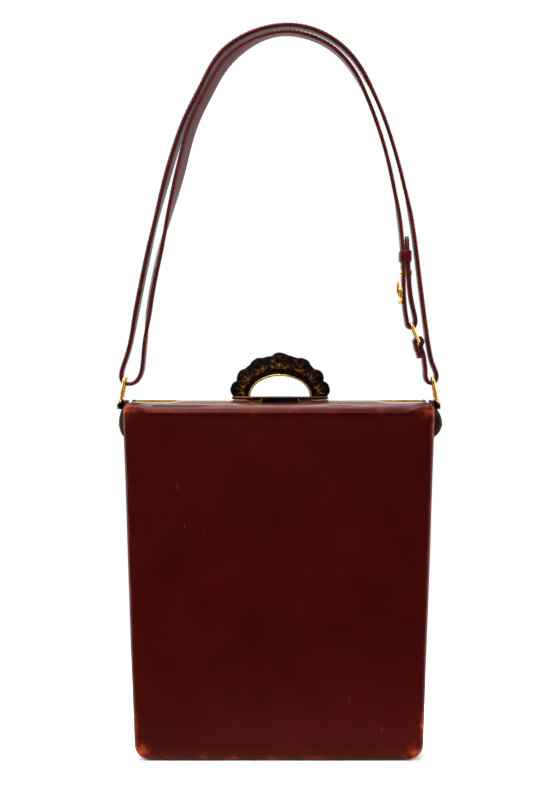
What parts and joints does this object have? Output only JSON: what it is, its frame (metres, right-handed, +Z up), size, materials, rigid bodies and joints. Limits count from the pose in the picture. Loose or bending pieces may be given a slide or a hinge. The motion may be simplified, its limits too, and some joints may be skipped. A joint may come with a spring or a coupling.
{
  "type": "doctor bag",
  "caption": "Tall framed leather doctor bag with a hinged mouth, arched clasp, side rings and a doubled adjustable leather strap.",
  "frame": {"origin": "middle of the base, on the surface that the bag stands on", "axes": "+Z up, +X to the right of someone facing the bag, -Y out of its front"},
  "size_m": [0.2566, 0.089, 0.5661],
  "materials": {
    "oxblood_leather": "glossy polished leather",
    "strap_leather": "glossy dark leather",
    "pulpboard": "grey pulp board",
    "suede_lining": "napped lining cloth",
    "polished_brass": "polished, aged",
    "antiqued_bronze": "dark patina in the relief",
    "blackened_steel": "blackened"
  },
  "bodies": {
    "bag": {"front_panel": "oxblood_leather", "back_panel": "oxblood_leather", "base_panel": "oxblood_leather", "left_gusset": "oxblood_leather", "right_gusset": "oxblood_leather", "front_board": "pulpboard", "back_board": "pulpboard", "base_board": "pulpboard", "side_boards": "pulpboard", "front_lining": "suede_lining", "back_lining": "suede_lining", "base_lining": "suede_lining", "side_linings": "suede_lining", "front_flex": "oxblood_leather", "back_flex": "oxblood_leather", "front_pleats": "oxblood_leather", "back_pleats": "oxblood_leather", "frame_pins": "blackened_steel", "left_tab": "strap_leather", "right_tab": "strap_leather", "tab_rivets": "polished_brass", "ring_studs": "blackened_steel", "slip_pocket": "suede_lining", "zip_pocket": "suede_lining", "zip_tape": "suede_lining", "zip_chain": "polished_brass"},
    "front_frame": {"front_frame_bar": "polished_brass", "front_cover": "oxblood_leather", "front_cover_board": "pulpboard", "front_cover_lining": "suede_lining", "strike": "blackened_steel", "strike_rivets": "blackened_steel"},
    "back_frame": {"back_frame_bar": "polished_brass", "back_cover": "oxblood_leather", "back_cover_board": "pulpboard", "back_cover_lining": "suede_lining", "clasp_bracket": "blackened_steel", "clasp_pin": "blackened_steel"},
    "clasp": {"clasp_plate": "polished_brass", "clasp_arch": "antiqued_bronze", "clasp_rim": "polished_brass"},
    "strap": {"strap_outer": "strap_leather", "strap_inner": "strap_leather", "strap_tail": "strap_leather", "strap_return": "strap_leather", "buckle_frame": "polished_brass", "strap_keeper": "strap_leather", "strap_stud": "polished_brass", "left_lug": "blackened_steel", "right_lug": "blackened_steel", "link_ring": "polished_brass"},
    "left_ring": {"left_ring": "polished_brass"},
    "right_ring": {"right_ring": "polished_brass"},
    "prong": {"buckle_prong": "polished_brass"},
    "slider": {"zip_slider": "polished_brass"},
    "pull": {"zip_pull": "polished_brass"}
  },
  "joints": [
    {"name": "front_frame_open", "type": "hinge", "parent": "bag", "child": "front_frame", "pos_m": [0, 0, 0.233], "axis": [1, 0, 0], "range_deg": [0, 45], "deforming": ["front_flex", "front_pleats"]},
    {"name": "back_frame_open", "type": "hinge", "parent": "bag", "child": "back_frame", "pos_m": [0, 0, 0.233], "axis": [-1, 0, 0], "range_deg": [0, 45], "deforming": ["back_flex", "back_pleats"]},
    {"name": "clasp_lift", "type": "hinge", "parent": "back_frame", "child": "clasp", "pos_m": [0.001, 0.0072, 0.2753], "axis": [-1, 0, 0], "range_deg": [0, 75]},
    {"name": "strap_swing", "type": "hinge", "parent": "bag", "child": "strap", "pos_m": [0, 0, 0.2694], "axis": [1, 0, 0], "range_deg": [-35, 35]},
    {"name": "left_ring_tilt", "type": "hinge", "parent": "strap", "child": "left_ring", "pos_m": [-0.12266, 0, 0.2738], "axis": [0, 1, 0], "range_deg": [0, 8]},
    {"name": "right_ring_tilt", "type": "hinge", "parent": "strap", "child": "right_ring", "pos_m": [0.12266, 0, 0.2738], "axis": [0, -1, 0], "range_deg": [0, 4]},
    {"name": "prong_lift", "type": "hinge", "parent": "strap", "child": "prong", "pos_m": [0.09431, 0, 0.3574], "axis": [0, -1, 0], "range_deg": [0, 50]},
    {"name": "zip_slide", "type": "slide", "parent": "bag", "child": "slider", "axis": [1, 0, 0], "range_m": [0, 0.13]},
    {"name": "pull_lift", "type": "hinge", "parent": "slider", "child": "pull", "pos_m": [-0.0675, -0.01944, 0.174], "axis": [1, 0, 0], "range_deg": [0, 60]}
  ]
}
